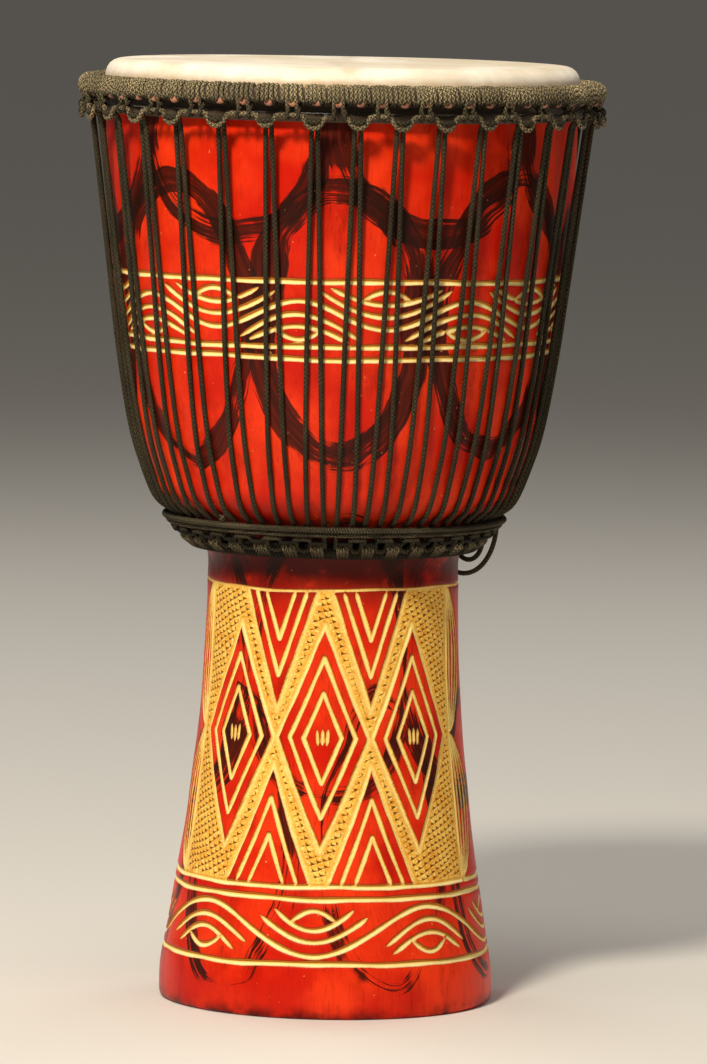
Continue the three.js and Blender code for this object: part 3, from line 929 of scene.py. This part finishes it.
def build_crown_cloth(material):
    """The cloth under the turns; it bulges out where two turns have been pushed apart."""
    patches = pair_angle((np.arange(PAIRS)[:, None] + np.array([0.045, 0.545])).ravel())
    swell = RNG.uniform(0.7, 1.0, len(patches))
    shown = []

    def radius_at(phi, theta):
        turn = (np.degrees(phi) - patches[None, :] + 180) % 360 - 180
        lump = np.max(swell * np.exp(-((turn / 1.15) ** 4)), axis=1)[:, None]
        low_side = ((theta + 1.0 + np.pi) % (2 * np.pi) - np.pi) / 0.40
        shown.append(lump * np.exp(-(low_side**4)))
        return 4.6 + 3.5 * shown[0]

    cloth = ring_tube(CROWN_RING, radius_at, 1440, 28)
    make_strand("crown_cloth", material, cloth, {"bulge": shown[0].ravel()})


def build_bottom_binding(material):
    """Turns round the bottom ring, with a lump of three bigger turns at every rope pair."""
    per_pair, rope = 8, 0.95
    ring_r, ring_z = BOTTOM_RING
    ring_circle = (ring_r, ring_z, BOTTOM_ROD + rope)
    lump_circle = (ring_r + 6.2, ring_z + 2.2, 1.9)
    theta = np.pi / 2 - 2 * np.pi * np.arange(16) / 16
    sections = []
    for k in range(per_pair * PAIRS):
        share = (k + 0.5) / per_pair % 1
        circles = [ring_circle, lump_circle] if share < 0.2 or share > 0.8 else [ring_circle]
        sections.append(hull_section(circles, theta))
    turns = pair_angle(np.arange(per_pair * PAIRS + 1) / per_pair)
    wound = wound_rope(turns, sections, rope)
    x, y, z = wound[0].T
    # Painted shade: only the proud lumps keep their colour; the other turns are darkened.
    proud = np.clip((np.hypot(x, y) - ring_r - 5.6) / 2.0, 0, 1)
    lit_share = np.clip(proud * (2.2 - np.abs(z - ring_z - 2.4) / 1.3), 0.05, 1)
    make_strand("bottom_binding", material, wound, {"lit_share": lit_share})


def build_crown_loop(material):
    """The cord under the crown: straight where it is lashed, a small U at every rope pair."""
    loop = CROWN_LOOP
    dip = [(-2.9, 0, 0), (-2.25, -1.8, 0.4), (-1.5, -5.4, 1.0), (-0.7, -7.2, 1.2), (0, -7.5, 1.2),
           (0.7, -7.2, 1.2), (1.5, -5.4, 1.0), (2.25, -1.8, 0.4), (2.9, 0, 0)]
    points = []
    for pair in range(PAIRS):
        width = RNG.uniform(0.88, 1.08)
        sink = RNG.uniform(0.9, 1.08)
        for offset, drop, out in dip:
            angle = pair_angle(pair) + offset * width
            points.append(around(angle, loop["radius"] + out, loop["z"] + drop * sink))
    cord = tube(smooth_path(points, CORD_STEP), loop["cord"], ROPE_SIDES)
    make_strand("crown_loop_cord", material, cord)


def build_bottom_loop(material):
    """The cord above the bottom ring: low at the rope pairs, humped up between them."""
    loop = BOTTOM_LOOP
    points = []
    for pair in range(PAIRS):
        angle = pair_angle(pair)
        points += [around(angle + d, loop["radius"], loop["z"]) for d in (-1.9, 0, 1.9)]
        if pair < PAIRS - 1:
            between = (angle + pair_angle(pair + 1)) / 2
            points += [around(between + d, *loop["hump"]) for d in (-2.4, 0, 2.4)]
    cord = tube(smooth_path(points, CORD_STEP), loop["cord"], ROPE_SIDES)
    # Painted shade: the cord is darkened except on its humps.
    lit_share = np.clip((cord[0][:, 2] - loop["z"] - 1.0) / 1.5, 0.10, 1)
    make_strand("bottom_loop_cord", material, cord, {"lit_share": lit_share})


def strand_points(pair, side):
    """One strand from the crown down to the bottom ring; side is -1 left or +1 right."""
    top, bottom = STRAND[0, 1], WAIST_UPPER[1]
    down = np.clip((top - STRAND[:, 1]) / (top - bottom), 0, 1)
    gap = HALF_GAP_TOP + (HALF_GAP_BOTTOM - HALF_GAP_TOP) * down
    return around(pair_angle(pair) + side * gap, STRAND[:, 0], STRAND[:, 1])


def build_lacing(material):
    """The long rope: up a strand, over the loop cord's dip, down the next, round the bottom."""
    top_z = STRAND[0, 1]
    rise = [(-0.63, 160.2, -4.0), (-1.2, 162.6, -1.8), (-1.75, 165.4, -1.0), (-1.4, 166.7, -1.4)]
    fall = [(-turn, radius, lift) for turn, radius, lift in rise[::-1]]
    path = []
    for pair in range(PAIRS):
        angle = pair_angle(pair)
        path += list(strand_points(pair, -1)[:0:-1])
        path += [around(angle + turn, radius, top_z + lift)
                 for turn, radius, lift in (*rise, (0, 167.0, -2.1), *fall)]
        path += list(strand_points(pair, 1)[1:])
        if pair < PAIRS - 1:
            start = angle + HALF_GAP_BOTTOM
            end = pair_angle(pair + 1) - HALF_GAP_BOTTOM
            path += [around(start + (end - start) * t, BOTTOM_TURN[0], BOTTOM_TURN[1] - d)
                     for t, d in ((0.2, -0.2), (0.5, 0.5), (0.8, -0.2))]
    rope = tube(smooth_path(path, 3.0), ROPE, ROPE_SIDES)
    make_strand("lacing_rope", material, rope)


def build_waist_cord(name, place, size, pitch, material, seed):
    """A hard-laid three-strand cord laid round the waist, ribbed by its strands."""
    ribs = round(2 * math.pi * place[0] / pitch)
    rib = []

    def radius_at(phi, theta):
        rib.append(np.abs(np.cos(theta * 1.5 - phi * ribs / 2)) ** 0.8)
        slack = 0.04 * np.sin(phi * 5 + seed) + 0.03 * np.sin(phi * 17)
        return size * (0.76 + 0.24 * rib[0]) + slack

    cord = ring_tube(place, radius_at, ribs * 6, 12)
    # Painted shade: the grooves between the strands are darkened.
    make_strand(name, material, cord, {"lit_share": rib[0].ravel() ** 2})


def build_end_knot(material):
    """The rope's end: a small overhand knot with its cut tip standing out of it."""
    t = np.linspace(0, 2 * np.pi, 90)
    size = END_KNOT["size"] * 0.52
    x = size * (np.sin(t) + 1.7 * np.sin(2 * t)) / 2.2
    y = size * (np.cos(t) - 1.7 * np.cos(2 * t)) / 2.2
    z = size * -np.sin(3 * t) * 0.8
    path = np.column_stack([x, z, y])[:-3]
    path = np.vstack([path, path[-1] + np.array([(0.2, 0.1, 0.7), (0.4, 0.2, 1.3)])])
    angle = float(pair_angle(END_KNOT["pair"]))
    turn = np.array(Matrix.Rotation(math.radians(angle), 3, "Z"))
    path = path @ turn.T + around(angle, END_KNOT["radius"], END_KNOT["z"])
    knot = tube(smooth_path(path, 0.25), 0.72, ROPE_SIDES)
    # Painted shade: the whole knot is darkened a little.
    lit_share = np.full(len(knot[0]), 0.8)
    make_strand("rope_end_knot", material, knot, {"lit_share": lit_share})


def build_slack_turns(material):
    """Two slack turns of the rope, hanging as round U shapes from the waist."""
    for name, start_angle, end_angle, drop in SLACK_TURNS:
        start = around(start_angle, SLACK["radius"], SLACK["top"])
        end = around(end_angle, SLACK["radius"], SLACK["top"])
        half = np.linalg.norm(end - start) / 2
        leg = max(0.0, drop - half)
        a = np.pi * np.arange(SLACK["steps"] + 1) / SLACK["steps"]
        path = start + (end - start) * ((1 - np.cos(a)) / 2)[:, None]
        path[:, 2] -= leg + (drop - leg) * np.sin(a)
        if leg > 0:
            path = np.vstack([start, start - (0, 0, leg / 2), path, end - (0, 0, leg / 2), end])
        piece = make_strand(name, material, tube(path, SLACK["rope"], 10))


# ---- Camera, floor and light ----
def build_camera():
    """A long lens a little above the head's height, looking slightly down."""
    data = bpy.data.cameras.new("camera")
    data.lens, data.sensor_width = 258.3, 36.0
    data.clip_end = 400
    camera = add_object("camera", data)
    camera.location = (0.0125, -4.866, 0.727)
    tilt, roll = math.radians(90 - 5.02), math.radians(1.15)
    turned = Matrix.Rotation(tilt, 3, "X") @ Matrix.Rotation(roll, 3, "Z")
    camera.rotation_euler = turned.to_euler()
    bpy.context.scene.camera = camera


def build_stage():
    """A wide pale floor, a pale surround and large soft lights."""
    mesh = bpy.data.meshes.new("floor")
    corners = [(-120, -120, 0), (120, -120, 0), (120, 120, 0), (-120, 120, 0)]
    mesh.from_pydata(corners, [], [(0, 1, 2, 3)])
    floor = add_object("floor", mesh)
    mesh.materials.append(Graph("floor").set(Base_Color=(0.72, 0.71, 0.69), Roughness=0.7))
    world = bpy.data.worlds.new("surround")
    bpy.context.scene.world = world
    world.use_nodes = True
    background = world.node_tree.nodes["Background"]
    background.inputs[0].default_value = (0.92, 0.86, 0.78, 1)
    background.inputs[1].default_value = 0.13
    # (name, place, diameter, watts, colour), each aimed at the middle of the drum.
    lights = [("key", (-0.85, -2.1, 2.45), 0.5, 104, (1.0, 0.89, 0.72)),
              ("overhead", (-0.3, -0.4, 3.2), 1.6, 26, (1.0, 0.93, 0.82)),
              ("fill", (2.6, -2.2, 1.3), 2.2, 3, (1.0, 0.90, 0.80)),
              ("back_left", (-2.2, 2.4, 2.0), 2.0, 24, (1.0, 0.95, 0.88)),
              ("back_right", (2.2, 2.4, 2.0), 2.0, 24, (1.0, 0.95, 0.88))]
    for name, place, size, power, colour in lights:
        data = bpy.data.lights.new(name, "AREA")
        data.shape = "DISK"
        data.size, data.energy, data.color = size, power, colour
        light = add_object(name, data)
        light.location = place
        aim = Vector((0, 0, 0.35)) - Vector(place)
        light.rotation_euler = aim.to_track_quat("-Z", "Y").to_euler()


# ---- Assembly ----
def main():
    build_camera()
    rope = braided("black_rope", (0.016, 0.013, 0.007), (0.22, 0.18, 0.09), 2.8, 0.25)
    loop = braided("loop_rope", (0.030, 0.023, 0.012), (0.70, 0.56, 0.32), 2.8, 0.42, 0.5)
    # bound_rope and waist_cord are darkened by painted shade from each mesh's light value.
    bound = braided("bound_rope", (0.030, 0.023, 0.013), (0.85, 0.70, 0.40), 2.8, 0.45, 0.5,
                    painted_shade=True)
    cord = braided("waist_cord", (0.012, 0.009, 0.005), (0.55, 0.46, 0.26), 1.8, 0.45, 0.4,
                   painted_shade=True)
    build_slack_turns(rope)
    build_shell(painted_wood(), bare_wood())
    build_drumhead(goatskin())
    steel = ring_steel()
    build_ring("flesh_ring", FLESH_RING, FLESH_ROD, steel)
    build_ring("crown_ring", CROWN_RING, CROWN_ROD, steel)
    build_ring("bottom_ring", BOTTOM_RING, BOTTOM_ROD, steel)
    build_crown_cloth(wrap_cloth())
    build_crown_binding(bound)
    build_crown_loop(loop)
    build_lacing(rope)
    build_bottom_binding(bound)
    build_bottom_loop(cord)
    build_waist_cord("waist_cord_upper", WAIST_UPPER, UPPER_CORD, 1.8, cord, 1.0)
    build_waist_cord("waist_cord_lower", WAIST_LOWER, LOWER_CORD, 1.6, cord, 2.0)
    build_end_knot(cord)
    build_stage()
    bpy.context.scene.view_settings.view_transform = "Standard"


main()
